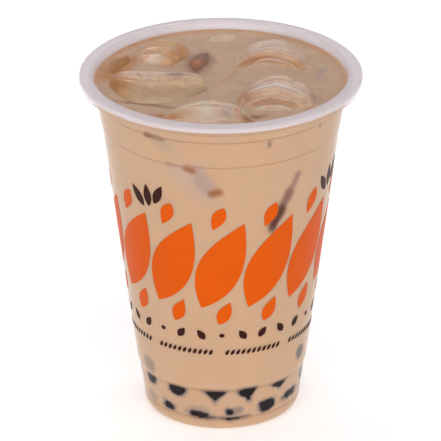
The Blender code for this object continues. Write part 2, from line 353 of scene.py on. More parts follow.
printed = {
    "lift": 0.03 * mm,          # ink stands off the wall by this
    "thick": 0.04 * mm,
    "leaves": 13,               # round the cup; sizes are length and width, turns are in degrees
    "leafHeight": 65.5 * mm,
    "leafSize": (36.0 * mm, 14.6 * mm),
    "leafTurn": -24.0,
    "budSize": (9.5 * mm, 4.6 * mm),
    "budRise": 18.5 * mm,       # above and below the leaves' middles
    "budShift": 0.06,           # as a share of the step between leaves
    "marks": 28,
    "markHeight": 38.4 * mm,
    "markSize": (4.4 * mm, 2.5 * mm),
    "markTurn": 35.0,
    "dotEvery": 5,
    "dotSize": (1.7 * mm, 1.9 * mm),
    "hatches": 104,
    "hatchHeight": 31.7 * mm,
    "hatchSize": (2.6 * mm, 1.1 * mm),
    "hatchTurn": -28.0,
    "hatchRun": 13,             # a run with its gap, which is two hatches wide
    "sprigs": (-47.0, 64.0, 200.5),
    "sprigHeight": 88.0 * mm,
    "sprigSize": (8.5 * mm, 3.2 * mm),
    "sprigStep": 6.6,           # degrees round the cup from leaf to leaf
    "sprigRise": 1.2 * mm,
    "sprigTurns": (34.0, 4.0, -26.0),
}


def inkLeaf(shape, angle, height, size, turn, rows=12, columns=4):
    # a pointed leaf of ink, fullest below its middle, put at an angle and height and turned in its own plane
    length, width = size
    radius = wallRadius(height)
    spin = math.radians(turn)
    made = bmesh.ops.create_grid(shape, x_segments=columns, y_segments=rows, size=1.0)
    for vertex in made["verts"]:
        share = vertex.co.y
        across = vertex.co.x * (1.0 - share ** 2) * (1.0 - 0.25 * share) * width / 2
        along = share * length / 2
        x = across * math.cos(spin) - along * math.sin(spin)
        z = across * math.sin(spin) + along * math.cos(spin)
        vertex.co = Vector((angle + x / radius, 0.0, height + z))


def wrapOnWall(shape):
    # bends flat ink, drawn with x as an angle from the front and z as a height, onto the wall and thickens it
    for vertex in shape.verts:
        angle, height = vertex.co.x, vertex.co.z
        radius = wallRadius(height) + printed["lift"]
        vertex.co = Vector((radius * math.sin(angle), -radius * math.cos(angle), height))
    bmesh.ops.remove_doubles(shape, verts=shape.verts, dist=0.001 * mm)
    for face in shape.faces:
        face.normal_update()
        middle = face.calc_center_median()
        if face.normal.x * middle.x + face.normal.y * middle.y < 0.0:
            face.normal_flip()
    bmesh.ops.solidify(shape, geom=shape.faces[:], thickness=-printed["thick"])


def makeLeafPrint():
    shape = bmesh.new()
    step = math.tau / printed["leaves"]
    for number in range(printed["leaves"]):
        angle = step * number
        inkLeaf(shape, angle, printed["leafHeight"], printed["leafSize"], printed["leafTurn"],
                rows=26, columns=8)
        for side, halfTurn in ((-1, 0), (1, 180)):
            # buds fill the corners between the leaf tips, pointing up below the leaves and down above them
            inkLeaf(shape, angle - side * printed["budShift"] * step,
                    printed["leafHeight"] + side * printed["budRise"], printed["budSize"],
                    printed["leafTurn"] + halfTurn)
    wrapOnWall(shape)
    addPiece("leaf_print", shape, [inkMaterial("orange_ink", "#D45500")], [])


def makeRowPrint():
    shape = bmesh.new()
    for number in range(printed["marks"]):
        angle = math.tau * number / printed["marks"]
        if number % printed["dotEvery"] == 0:
            inkLeaf(shape, angle, printed["markHeight"], printed["dotSize"], 0.0)
        else:
            turn = printed["markTurn"] if number % 2 else -printed["markTurn"]
            inkLeaf(shape, angle, printed["markHeight"], printed["markSize"], turn)
    for number in range(printed["hatches"]):
        if number % printed["hatchRun"] not in (0, printed["hatchRun"] - 1):
            inkLeaf(shape, math.tau * number / printed["hatches"], printed["hatchHeight"], printed["hatchSize"],
                    printed["hatchTurn"], rows=5, columns=2)
    for sprig in printed["sprigs"]:
        for number, turn in enumerate(printed["sprigTurns"]):
            angle = math.radians(sprig + printed["sprigStep"] * number)
            height = printed["sprigHeight"] + printed["sprigRise"] * number
            inkLeaf(shape, angle, height, printed["sprigSize"], turn)
    wrapOnWall(shape)
    addPiece("row_print", shape, [inkMaterial("brown_ink", "#371610")], [])


# Pearls

pearls = {
    "radius": 4.3 * mm,
    "press": 1.0 * mm,
    "roomInset": 1.0 * mm,      # the CAD contents keep this clear of the wall's outside
    "reach": 0.62 * mm,         # how far a flattened side reaches into the wall
    "sunk": 0.3 * mm,           # the rest of a pearl stays this far behind the wall, in the milk
    "seed": 7,
    "rings": ((14, 7.9, 8.0, 360 / 14), (14, 15.0, -6.0, 360 / 14), (6, 22.3, 63.7, 47.6)),
    "lump": 0.28 * mm,
    "lumpLength": 3.5 * mm,
    "coreAround": 64,
    "coreFoot": 19.4 * mm,
    "coreHeel": 21.8 * mm,
    "coreSide": 25.0 * mm,
    "coreTop": 21.0 * mm,
    "patchSeed": 3,
    "patchLump": 0.45,          # these three are in mm, as depths in a patch are
    "patchLumpLength": 1.7,
    "patchReach": 3.0,
    "patchSquare": 2.4,         # 2 makes patches oval, and more makes them squarer
    "patchDark": 0.75,          # patches darker than this touch the wall
}
# The flat sides that show on the wall: angle from the front in degrees, height, half width and half height in
# mm, lean in degrees, how far it narrows downwards, darkness, and height in mm at which the wall's crease cuts
# it, or 30 where none does.
flatSide = namedtuple("flatSide", "angle height halfWide halfTall lean narrow dark crease")
frontPatches = tuple(flatSide(*values) for values in (
    (-33.3, 14.2, 3.4, 1.8, 0, 0.25, 1.0, 15.9), (-4.9, 14.2, 4.6, 2.0, 0, 0.95, 1.0, 15.9),
    (18.3, 14.6, 4.3, 2.3, 10, 0.85, 1.0, 16.5), (44.5, 15.0, 3.7, 1.2, 4, 0.7, 1.0, 16.0),
    (78.0, 13.6, 3.0, 2.6, 0, 0.2, 1.0, 17.0), (-58.2, 20.6, 2.4, 2.4, -20, -0.2, 0.55, 30.0),
    (63.7, 23.8, 2.3, 2.3, 10, 0.1, 0.72, 30.0), (-61.0, 7.4, 2.0, 1.3, -15, 0.2, 0.45, 30.0),
    (-42.3, 7.0, 2.2, 1.3, -12, 0.1, 0.9, 30.0), (-17.3, 6.2, 2.8, 1.1, -4, -0.1, 1.0, 30.0),
    (-17.1, 7.8, 2.4, 1.1, 0, 0.2, 0.4, 30.0), (-12.9, 5.05, 2.6, 0.35, 0, 0.3, 1.0, 30.0),
    (5.4, 7.6, 1.2, 1.0, -20, 0.1, 1.0, 30.0), (9.6, 7.7, 2.0, 1.2, 15, 0.1, 0.6, 30.0),
    (7.2, 4.9, 3.7, 0.5, 0, 0.5, 1.0, 5.3), (34.4, 8.0, 3.3, 2.2, 4, 0.2, 1.0, 30.0),
    (58.5, 8.9, 3.4, 1.4, 4, -0.1, 0.8, 30.0),
))


def pearlPlaces():
    # the same draw of places as the CAD bed: count, height in mm, first angle and step of each ring
    draw = random.Random(pearls["seed"])
    places = []
    for count, height, first, step in pearls["rings"]:
        for number in range(count):
            angle = math.radians(first + step * number - 90.0 + draw.uniform(-1.8, 1.8))
            middleHeight = (height + draw.uniform(-0.7, 0.7)) * mm
            radius = pearls["radius"] * (1.0 + draw.uniform(-0.05, 0.05))
            reach = wallRadius(middleHeight, pearls["roomInset"]) - radius + pearls["press"]
            places.append((Vector((reach * math.cos(angle), reach * math.sin(angle), middleHeight)), radius))
    return places


def wallAngle(x, y):
    return math.degrees(math.atan2(x, -y))


def turnBetween(first, second):
    return (second - first + 180.0) % 360.0 - 180.0


def patchesNear(patches, place, turn, rise):
    # those within so many degrees and so much height of a pearl's middle
    angle = wallAngle(place.x, place.y)
    return [patch for patch in patches
            if abs(turnBetween(patch.angle, angle)) < turn and abs(patch.height * mm - place.z) < rise]


def pearlPatches():
    # the front ones as they show, and drawn ones for the pearls that the photo doesn't show
    draw = random.Random(pearls["patchSeed"])
    patches = list(frontPatches)
    for middle, _ in pearlPlaces():
        if not patchesNear(frontPatches, middle, 11, 3.5 * mm):
            atStep = 12 * mm < middle.z < 19 * mm
            patches.append(flatSide(
                angle=wallAngle(middle.x, middle.y), height=middle.z / mm - draw.uniform(0.0, 1.0),
                halfWide=draw.uniform(2.2, 4.0), halfTall=draw.uniform(1.2, 2.1), lean=draw.uniform(-15, 15),
                narrow=draw.uniform(-0.1, 0.45), dark=draw.choice((0.6, 1.0, 1.0)),
                crease=16.0 if atStep else 30.0))
    return patches


def patchDepth(patch, angle, height, radius):
    # how far inside a patch a place on the wall lies, in mm, and below 0 how far outside
    x = math.radians(turnBetween(patch.angle, angle)) * radius / mm
    z = height / mm - patch.height
    if abs(x) > patch.halfWide + pearls["patchReach"] or abs(z) > patch.halfTall + pearls["patchReach"]:
        return -pearls["patchReach"]
    lump = pearls["patchLump"] * noise.noise(Vector((x + patch.angle, z, 0.0)) / pearls["patchLumpLength"])
    spin = math.radians(patch.lean)
    x, z = x * math.cos(spin) + z * math.sin(spin), z * math.cos(spin) - x * math.sin(spin)
    wide = patch.halfWide * max(0.2, 1.0 + patch.narrow * (z / patch.halfTall - 1.0) / 2)
    power = pearls["patchSquare"]
    away = ((abs(x) / wide) ** power + (abs(z) / patch.halfTall) ** power) ** (1 / power)
    return min((1.0 - away) * min(wide, patch.halfTall) + lump, patch.crease - height / mm)


def makePearls():
    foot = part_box("pearls")[0].z
    touching = [patch for patch in pearlPatches() if patch.dark > pearls["patchDark"]]
    shape = turnedShape([
        (0.0, foot), (pearls["coreFoot"], foot), (pearls["coreHeel"], cup["heelHeight"]),
        (pearls["coreSide"], pearls["coreTop"]), (0.0, pearls["coreTop"])], pearls["coreAround"])
    for middle, size in pearlPlaces():
        made = bmesh.ops.create_icosphere(shape, subdivisions=5, radius=size, matrix=Matrix.Translation(middle))
        near = patchesNear(touching, middle, 14, 5 * mm)
        outwards = Vector((middle.x, middle.y, 0.0)).normalized()
        for vertex in made["verts"]:
            direction = (vertex.co - middle).normalized()
            vertex.co += direction * noise.noise(vertex.co / pearls["lumpLength"]) * pearls["lump"]
            out = math.hypot(vertex.co.x, vertex.co.y)
            sunk = min(out, wallRadius(vertex.co.z, cup["wall"] + pearls["sunk"]))
            if direction.dot(outwards) > 0.15 and near:
                # the side that touches the wall is pressed flat on it
                angle = wallAngle(vertex.co.x, vertex.co.y)
                depth = max(patchDepth(patch, angle, vertex.co.z, out) for patch in near)
                flat = wallRadius(vertex.co.z, cup["wall"] - pearls["reach"])
                sunk += (flat - sunk) * smoothStep(depth, -0.15, 0.15)
            vertex.co.x *= sunk / out
            vertex.co.y *= sunk / out
            vertex.co.z = max(vertex.co.z, foot)
    addPiece("tapioca_pearls", shape, [tapiocaMaterial()], ["pearls"])


# Ice: each piece by its middle, size, turn and form as in the CAD, with ridges and dishes on its top.
# A ridge is its place from the near side at -1 to the far side at 1, its height in mm and its width; arch bends
# ridges and glints towards the near side at their ends.
# A dish is its middle along and across, its half sizes and its depth in mm. A stain, or a patch of painted
# highlight or reflection, is its middle along and across, its half sizes, colour and strength. A glint is a
# painted highlight, a thin pale line along a crest: its place across, and from and to.

iceLook = {
    "outline": 2.7,
    "rim": 5.0,
    "cuts": 60,                 # how finely a piece is divided, then its pocket's cutter and its plain forms
    "cutterCuts": 18,
    "climbCuts": 12,
    "bubbleCuts": 24,
    "intoTea": 0.12 * mm,       # the tea reaches this far into the ice, so that no air gap shows
    "seeDepth": 3.6 * mm,       # milk clouds the ice below this depth
    "cloud": 1.1 * mm,
    "cloudLength": 5.0 * mm,
    "melt": 1.1 * mm,           # unevenness of the outline
    "meltLength": 7.0 * mm,
    "ripple": 0.13 * mm,
    "rippleLength": 3.4 * mm,
    # Glints are painted highlight lines. Of the tints, the ridge one is painted reflection, the valley one
    # painted shade, and the waterline one the thicker film with painted shade.
    "glintWide": 0.028,         # as shares of half the piece
    "glintFade": 0.2,
    "ridgeShare": 0.4,          # how strongly each tint shows
    "valleyShare": 0.6,
    "waterlineShare": 0.5,
}
icePieces = {
    "ice_left_slab": {
        "x": -21.5, "y": -7.3, "length": 34.0, "depth": 27.0, "thick": 12.0, "rise": 2.2, "turn": 175.0,
        "tip": -3.0, "arch": -0.12, "moon": 0.32, "hollow": 0.0, "film": "#D6B896",
        "glints": ((-0.72, -0.5, 0.7), (-0.48, -0.6, 0.3)),
        "ridges": ((-0.84, 0.7, 0.06), (-0.62, 0.9, 0.06), (-0.40, 0.7, 0.05), (-0.20, 0.4, 0.05)),
        "dishes": ((-0.15, 0.30, 0.62, 0.42, 0.8),),
        "stainsAndPaintedLight": ((0.85, 0.1, 0.40, 0.8, "#BA7F4A", 0.95), (-0.8, 0.5, 0.25, 0.4, "#A88F74", 0.8),
                   (-0.35, -0.62, 0.20, 0.22, "#7E6C6A", 0.8),
                   # the pale pink patch at (0.35, -0.55), on the far ridges, is painted reflection
                   (-0.2, 0.30, 0.5, 0.35, "#D0BB98", 0.7), (0.35, -0.55, 0.5, 0.25, "#DCC7BA", 0.7)),
    },
    "ice_back_left": {
        "x": -19.4, "y": 22.6, "length": 17.0, "depth": 20.5, "thick": 13.0, "rise": 2.8, "turn": -18.0,
        "tip": 5.0, "arch": 0.35, "moon": 0.12, "hollow": 0.0, "film": "#D8B48E",
        "glints": ((-0.55, -0.6, 0.3),),
        "ridges": ((-0.55, 0.5, 0.14), (0.05, 0.5, 0.16), (0.55, 0.4, 0.12)),
        "dishes": (),
        # the pale pink patch low on the near side is a painted highlight
        "stainsAndPaintedLight": ((0.75, -0.1, 0.30, 0.7, "#C08A58", 0.9), (-0.1, -0.75, 0.35, 0.2, "#F0DCD2", 0.8)),
    },
    "ice_wall_left": {
        "x": -34.5, "y": 13.7, "length": 18.5, "depth": 6.2, "thick": 11.0, "rise": 0.7, "turn": 70.0,
        "tip": 0.0, "arch": 0.0, "moon": 0.45, "hollow": 0.0, "film": "#B68150",
        "glints": (),
        "ridges": ((0.1, 0.3, 0.3),), "dishes": (), "stainsAndPaintedLight": ((0.0, 0.0, 0.3, 0.5, "#CC9866", 0.6),),
    },
    "ice_middle_chip": {
        "x": -7.6, "y": 15.6, "length": 18.0, "depth": 7.5, "thick": 10.0, "rise": 0.8, "turn": 77.0,
        "tip": 0.0, "arch": 0.0, "moon": 0.45, "hollow": 0.0, "film": "#96705C",
        "glints": (),
        "ridges": ((-0.2, 0.35, 0.25),), "dishes": (), "stainsAndPaintedLight": ((-0.3, 0.2, 0.35, 0.5, "#BE7A46", 0.8),),
    },
    "ice_back_chip": {
        "x": 0.7, "y": 35.6, "length": 11.0, "depth": 6.5, "thick": 9.0, "rise": 0.8, "turn": 2.0,
        "tip": 0.0, "arch": 0.0, "moon": 0.10, "hollow": 0.0, "film": "#E8C8B0",
        "glints": ((0.0, -0.6, 0.6),),
        "ridges": ((0.0, 0.4, 0.35),), "dishes": (), "stainsAndPaintedLight": (),
    },
    "ice_back_right": {
        "x": 17.8, "y": 17.2, "length": 27.5, "depth": 28.5, "thick": 12.0, "rise": 2.4, "turn": -7.0,
        "tip": 3.0, "arch": 0.55, "moon": 0.45, "hollow": 0.28, "film": "#D9B89C",
        "glints": ((-0.62, -0.8, 0.85), (0.15, -0.6, 0.8), (0.55, -0.6, 0.6)),
        "ridges": ((-0.62, 0.8, 0.04), (-0.10, 0.9, 0.06), (0.15, 0.7, 0.05), (0.36, 0.7, 0.05),
                   (0.55, 0.6, 0.05), (0.76, 0.5, 0.05)),
        "dishes": ((-0.1, -0.62, 0.75, 0.20, 0.9),),
        "stainsAndPaintedLight": ((-0.35, -0.52, 0.55, 0.17, "#BC7F45", 0.95), (0.55, -0.6, 0.3, 0.2, "#C8935F", 0.8),
                   # the two pale lilac bands along the ridges are painted reflection
                   (0.1, 0.2, 0.9, 0.12, "#E2D4D0", 0.6), (0.1, 0.55, 0.9, 0.10, "#DDCFCB", 0.6)),
    },
    "ice_front_right": {
        "x": 18.7, "y": -12.0, "length": 28.0, "depth": 29.5, "thick": 12.0, "rise": 2.4, "turn": -5.0,
        "tip": 3.0, "arch": 0.6, "moon": 0.42, "hollow": 0.0, "film": "#DBBCA0",
        "glints": ((-0.28, -0.8, 0.75), (-0.74, -0.5, 0.7), (0.20, -0.8, 0.7), (0.62, -0.7, 0.8)),
        "ridges": ((-0.74, 0.6, 0.04), (-0.28, 0.7, 0.04), (0.02, 1.0, 0.06), (0.22, 0.8, 0.05),
                   (0.42, 0.7, 0.05), (0.62, 0.6, 0.05), (0.82, 0.4, 0.05)),
        "dishes": ((-0.05, -0.48, 0.72, 0.34, 1.0),),
        "stainsAndPaintedLight": ((-0.05, -0.50, 0.6, 0.22, "#D2A67A", 0.85), (-0.75, 0.0, 0.25, 0.4, "#B98657", 0.7),
                   # the pale lilac band along the ridge at 0.25 is painted reflection
                   (0.85, 0.1, 0.06, 0.3, "#8A7484", 0.7), (0.0, 0.25, 0.9, 0.10, "#E0D2CD", 0.6)),
    },
    "ice_front": {
        "x": -4.0, "y": -28.7, "length": 33.0, "depth": 17.5, "thick": 12.0, "rise": 2.5, "turn": -2.0,
        "tip": 4.0, "arch": 0.3, "moon": 0.70, "hollow": 0.0, "film": "#DEC4A8",
        "glints": ((-0.1, -0.3, 0.4), (0.52, -0.5, 0.5)),
        "ridges": ((0.20, 0.6, 0.10), (0.52, 0.6, 0.08), (0.80, 0.5, 0.06)),
        "dishes": (),
        "stainsAndPaintedLight": ((-0.75, -0.3, 0.3, 0.5, "#C8905C", 0.9), (0.80, -0.3, 0.2, 0.5, "#A8744C", 0.9),
                   (0.0, -0.2, 0.28, 0.5, "#F0DECE", 0.8), (0.35, -0.1, 0.20, 0.5, "#A89894", 0.7)),
    },
}
# Painted light on the ice: highlight lines at the glints, reflection on the ridges, shade in the valleys, and
# shade over the thicker film at the waterline.
icePaintedLightTints = {"glint": "#F7EEE9", "ridge": "#E2D6D3", "valley": "#B88E6E", "waterline": "#B4855C"}
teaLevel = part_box("tea")[1].z


def roundedBlock(corner):
    # where a point on the two-unit cube goes on a block with a round outline and softly rounded rims
    outline, rim = iceLook["outline"], iceLook["rim"]
    across = max(abs(corner.x), abs(corner.y))
    around = (abs(corner.x) ** outline + abs(corner.y) ** outline) ** (1 / outline)
    roundOff = across / around if around else 1.0
    reach = (across ** rim + abs(corner.z) ** rim) ** (1 / rim)
    return Vector((corner.x * roundOff, corner.y * roundOff, corner.z)) / reach


def topRelief(ice, unit):
    # height of the ridges and dishes above the plain top, in mm, only on the top side
    level = unit.y + ice["arch"] * unit.x ** 2
    height = sum(tall * math.exp(-((level - place) / wide) ** 2) for place, tall, wide in ice["ridges"])
    for along, across, halfLong, halfWide, deep in ice["dishes"]:
        height -= deep * math.exp(-((unit.x - along) / halfLong) ** 4 - ((unit.y - across) / halfWide) ** 4)
    return height * smoothStep(unit.z, 0.72, 0.95)


def iceColour(ice, unit):
    # the film's colour with its stains and patches of painted highlight and reflection, painted reflection in
    # lilac-grey on the ridges, painted shade browner in between, painted highlight lines at the glints, and at
    # the waterline the thicker film with painted shade
    colour = toLinear(ice["film"])
    # stains, with patches of painted highlight and reflection among them
    for along, across, halfLong, halfWide, patchTint, share in ice["stainsAndPaintedLight"]:
        share *= math.exp(-((unit.x - along) / halfLong) ** 2 - ((unit.y - across) / halfWide) ** 2)
        colour = colour.lerp(toLinear(patchTint), share)
    height = topRelief(ice, unit)
    # painted reflection on the ridges
    colour = colour.lerp(toLinear(icePaintedLightTints["ridge"]), iceLook["ridgeShare"] * smoothStep(height, 0.25, 0.8))
    # painted shade in the valleys
    colour = colour.lerp(toLinear(icePaintedLightTints["valley"]), iceLook["valleyShare"] * smoothStep(-height, 0.4, 1.0))
    # painted highlight lines at the glints
    fade = iceLook["glintFade"]
    for across, start, end in ice["glints"]:
        reach = smoothStep(unit.x, start, start + fade) * smoothStep(-unit.x, -end, fade - end)
        level = unit.y + ice["arch"] * unit.x ** 2
        line = math.exp(-((level - across) / iceLook["glintWide"]) ** 2) * reach
        patchy = 0.55 + 0.6 * noise.noise(Vector((unit.x * 3.0, across * 9.0, ice["x"])))
        colour = colour.lerp(toLinear(icePaintedLightTints["glint"]), patchy * line)
    # at the waterline the film is thicker, with painted shade over it
    atWater = iceLook["waterlineShare"] * smoothStep(0.7 - unit.z, 0.0, 0.25)
    return colour.lerp(toLinear(icePaintedLightTints["waterline"]), atWater)


def iceShape(ice, cuts, grow, form):
    # a melted half moon: a rounded block whose far side curves away towards its ends. Its form is "plain",
    # "ridged" as it shows, or "pocket", as deep as one sees into it
    shape = bmesh.new()
    bmesh.ops.create_cube(shape, size=2.0)
    bmesh.ops.subdivide_edges(shape, edges=shape.edges, cuts=cuts, use_grid_fill=True)
    half = Vector((ice["length"], ice["depth"], ice["thick"])) * mm / 2
    turn = Euler((math.radians(ice["tip"]), 0.0, math.radians(ice["turn"]))).to_matrix()
    relief = {}
    tinted = shape.verts.layers.float_color.new("iceColour")
    for vertex in shape.verts:
        unit = roundedBlock(vertex.co)
        if form == "ridged":
            vertex[tinted] = (*iceColour(ice, unit), 1.0)
        away = ice["moon"] * unit.x * unit.x * (unit.y + 1.0)
        hollow = ice["hollow"] * (1.0 - unit.x * unit.x) * (1.0 - unit.y)
        place = Vector((unit.x * half.x, (unit.y - away + hollow) * half.y, unit.z * half.z))
        uneven = noise.noise_vector(Vector((place.x + ice["x"], place.y, 0.0)) / iceLook["meltLength"])
        vertex.co = turn @ (place + Vector((uneven.x, uneven.y, 0.0)) * iceLook["melt"])
        relief[vertex] = topRelief(ice, unit) * mm
    lift = teaLevel + ice["rise"] * mm - max(vertex.co.z for vertex in shape.verts)
    bmesh.ops.translate(shape, vec=(ice["x"] * mm, ice["y"] * mm, lift), verts=shape.verts)
    if form == "ridged":
        for vertex, height in relief.items():
            ripple = noise.noise(vertex.co / iceLook["rippleLength"]) * iceLook["ripple"]
            vertex.co.z += height + ripple * smoothStep(vertex.co.z, teaLevel - 1 * mm, teaLevel + 1 * mm)
    if form == "pocket":
        deepest = teaLevel - min(vertex.co.z for vertex in shape.verts)
        for vertex in shape.verts:
            below = max(0.0, teaLevel - vertex.co.z) / deepest
            cloud = noise.noise(vertex.co / iceLook["cloudLength"]) * iceLook["cloud"]
            if below:
                vertex.co.z = teaLevel - (iceLook["seeDepth"] - cloud) * below
    bmesh.ops.recalc_face_normals(shape, faces=shape.faces)
    shape.normal_update()
    outward = [(vertex, vertex.normal.copy()) for vertex in shape.verts]
    for vertex, normal in outward:
        vertex.co += normal * grow
    return shape


def iceTrees(cuts, form):
    return [BVHTree.FromBMesh(iceShape(ice, iceLook[cuts], 0.0, form)) for ice in icePieces.values()]


def makeIce():
    material = iceMaterial()
    for node, ice in icePieces.items():
        shape = iceShape(ice, iceLook["cuts"], 0.0, "ridged")
        addPiece(node.replace("ice_", "melting_ice_"), shape, [material], [node])


# Tea

tea = {
    "around": 320,
    "intoWall": 0.55 * mm,      # so that no clear edge shows at the sides
    "climbWall": 0.8 * mm,      # meniscus at the wall and at the ice
    "climbIce": 0.3 * mm,
    "climbReach": 0.8 * mm,
    "ringStep": 0.8 * mm,       # between rings of points on the surface, and up the side where the ice is
    "firstStep": 0.2 * mm,      # at the edge, growing inwards
    "stepGrowth": 1.35,
    "pearlTop": 30 * mm,        # below this the rings are closest, for the pearls
    "pearlStep": 0.42 * mm,
    "creaseReach": 1.0 * mm,
    "creaseStep": 0.25 * mm,
    "iceFoot": 74 * mm,
    "plainStep": 3.0 * mm,
    "milk": "#D4B494",
    "surface": "#C2A48B",
    "film": "#C08552",          # thin tea on the wall
    # painted shade along the wall's creases
    "crease": "#B58A68",
    "pearlDark": "#1B1312",
    "pearlHaze": "#8C8082",
}
# Ice sunk just behind the wall, painted on the milk: each mark stands for a piece of ice, and its colour is
# painted shade, the dim drink seen through the clear ice. From and to as angle from the front and height in mm,
# then half width and softness in mm, colour and strength.
sunkIce = (
    ((-36.6, 113.2), (-28.0, 112.7), 0.3, 1.3, "#74503F", 0.9),
    ((-31.0, 111.6), (-25.0, 110.6), 0.8, 3.2, "#C0AB94", 0.6),
    ((-26.0, 103.5), (-19.0, 103.1), 0.2, 1.3, "#9C7058", 0.7),
    ((-22.0, 102.0), (-9.0, 93.8), 0.8, 4.6, "#CDB6A6", 0.7),
    ((-12.5, 102.4), (-6.2, 95.4), 0.9, 3.4, "#BCA59C", 0.8),
    ((-16.6, 102.8), (-14.4, 102.2), 0.2, 2.1, "#A5683F", 0.9),
    ((-5.0, 93.8), (-1.4, 94.3), 0.2, 2.3, "#A5683C", 0.9),
    ((41.0, 96.6), (33.0, 86.5), 0.3, 2.0, "#9C7C72", 0.8),
    ((36.0, 90.5), (27.5, 79.0), 0.5, 2.5, "#8F6A60", 0.85),
    ((32.5, 85.0), (28.0, 79.0), 0.4, 2.1, "#5F3626", 0.9),
    ((22.8, 112.4), (22.9, 110.8), 0.2, 1.0, "#857565", 0.75),
    ((51.8, 112.8), (52.8, 112.3), 0.2, 0.8, "#8A6A58", 0.6),
)
# Tea that runs thin over sunk ice, between the pieces, and painted shadows on the tea at the near edge of the
# left
# slab and behind the front piece: middle and half sizes in mm, turn in degrees, colour and strength.
thinTeaAndShadows = (
    (-34.8, 10.5, 14.0, 5.0, 64, "#B98252", 0.85), (-7.5, 14.5, 10.5, 5.2, 77, "#8D6450", 0.8),
    (9.8, -30.6, 6.0, 2.2, 18, "#99623A", 0.85), (-17.0, -29.6, 7.0, 2.0, -12, "#AE7644", 0.75),
    # (-23.0, -20.2) is the painted shadow line along the left slab's near edge, and (-1.5, -19.4) painted shadow
    # behind the front piece
    (-1.5, -19.4, 8.0, 1.8, 0, "#A18E88", 0.75), (-23.0, -20.2, 14.0, 1.2, -17, "#8E6B54", 0.75),
    (33.6, 7.5, 6.0, 1.4, 72, "#A99893", 0.6), (15.0, 35.2, 9.0, 1.2, 2, "#B3947C", 0.6),
    (3.4, 4.0, 7.0, 1.6, 60, "#B58C68", 0.5),
)


def teaRows():
    # heights of the rings of points up the side: close together behind the pearls and the ice
    heights = []
    height = cup["heelHeight"]
    while height < teaLevel - 0.3 * mm:
        heights.append(height)
        if height < tea["pearlTop"]:
            height += tea["pearlStep"]
        elif min(abs(height - crease) for crease in cup["creases"]) < tea["creaseReach"]:
            height += tea["creaseStep"]
        elif height < tea["iceFoot"]:
            height += tea["plainStep"]
        else:
            height += tea["ringStep"]
    return heights


def teaProfile():
    # up from the floor, with a meniscus at the wall, and in to the axis
    inset = cup["wall"] - tea["intoWall"]
    points = floorProfile(inset) + wallProfile(inset)[:cup["heelSteps"] + 1]
    points += [(wallRadius(height, inset), height) for height in teaRows()[1:]]
    for step in range(5):
        height = teaLevel + tea["climbWall"] * step / 4
        points.append((wallRadius(height, inset), height))
    edge = wallRadius(teaLevel, inset)
    out = edge - cup["wall"] * 0.3
    gap = tea["firstStep"]
    while out > 0.5 * mm:
        away = edge - tea["intoWall"] - out
        points.append((out, teaLevel + tea["climbWall"] * math.exp(-max(0.0, away) / tea["climbReach"])))
        out -= gap
        gap = min(tea["ringStep"], gap * tea["stepGrowth"])
    points.append((0.0, teaLevel))
    return points


def cutIce(shape):
    # cuts a pocket for each piece of ice, a little smaller than the ice
    body = intoScene("milk_tea_body", meshOf(shape, "milk_tea"))
    group = bpy.data.collections.new("ice_pockets")
    bpy.context.scene.collection.children.link(group)
    pockets = []
    for ice in icePieces.values():
        pocket = iceShape(ice, iceLook["cutterCuts"], -iceLook["intoTea"], "pocket")
        item = bpy.data.objects.new("pocket", meshOf(pocket, "pocket"))
        group.objects.link(item)
        pockets.append(item)
    cut = body.modifiers.new("pockets", "BOOLEAN")
    cut.operation = "DIFFERENCE"
    cut.operand_type = "COLLECTION"
    cut.collection = group
    cut.solver = "MANIFOLD"
    done = bmesh.new()
    done.from_object(body, bpy.context.evaluated_depsgraph_get())
    for item in (body, *pockets):
        bpy.data.objects.remove(item, do_unlink=True)
    bpy.data.collections.remove(group)
    return done


def climbIce(shape):
    # raises the tea's surface into a meniscus round each piece of ice
    trees = iceTrees("climbCuts", "plain")
    for vertex in shape.verts:
        if vertex.co.z < teaLevel - 0.01 * mm:
            continue
        nearest = min(tree.find_nearest(vertex.co)[3] for tree in trees)
        vertex.co.z += tea["climbIce"] * math.exp(-nearest / tea["climbReach"])


def blended(first, second, share):
    return first.lerp(second, min(1.0, max(0.0, share)))


def sunkShare(mark, angle, height, radius):
    # how much of a sunk piece shows at a place on the wall
    (startAngle, startHeight), (endAngle, endHeight), half, soft, _, strength = mark
    start = Vector((math.radians(startAngle) * radius, startHeight * mm))
    end = Vector((math.radians(endAngle) * radius, endHeight * mm))
    place = Vector((math.radians(angle) * radius, height))
    along = end - start
    share = min(1.0, max(0.0, (place - start).dot(along) / max(along.length_squared, 1e-12)))
    distance = (place - start - along * share).length
    wobble = 1.0 + 0.35 * noise.noise(Vector((place.x, place.y, 0.0)) / (3 * mm))
    faded = smoothStep(distance * wobble, half * mm, (half + soft) * mm)
    return strength * (1.0 - faded)


def surfaceColour(x, y, edge, radius):
    # the open surface: browner where the tea runs thin over sunk ice and in a film at the wall, with painted
    # shadows
    colour = toLinear(tea["surface"])
    for middleX, middleY, halfLong, halfWide, turn, patchTint, share in thinTeaAndShadows:
        spin = math.radians(turn)
        x0, y0 = x / mm - middleX, y / mm - middleY
        along = (x0 * math.cos(spin) + y0 * math.sin(spin)) / halfLong
        across = (y0 * math.cos(spin) - x0 * math.sin(spin)) / halfWide
        away = math.hypot(along, across) + 0.25 * noise.noise(Vector((x, y, 0.0)) / (3.5 * mm))
        if away < 1.3:
            colour = blended(colour, toLinear(patchTint), share * (1.0 - smoothStep(away, 0.45, 1.3)))
    return blended(colour, toLinear(tea["film"]), 0.6 * math.exp(-(edge - radius) / (1.3 * mm)))


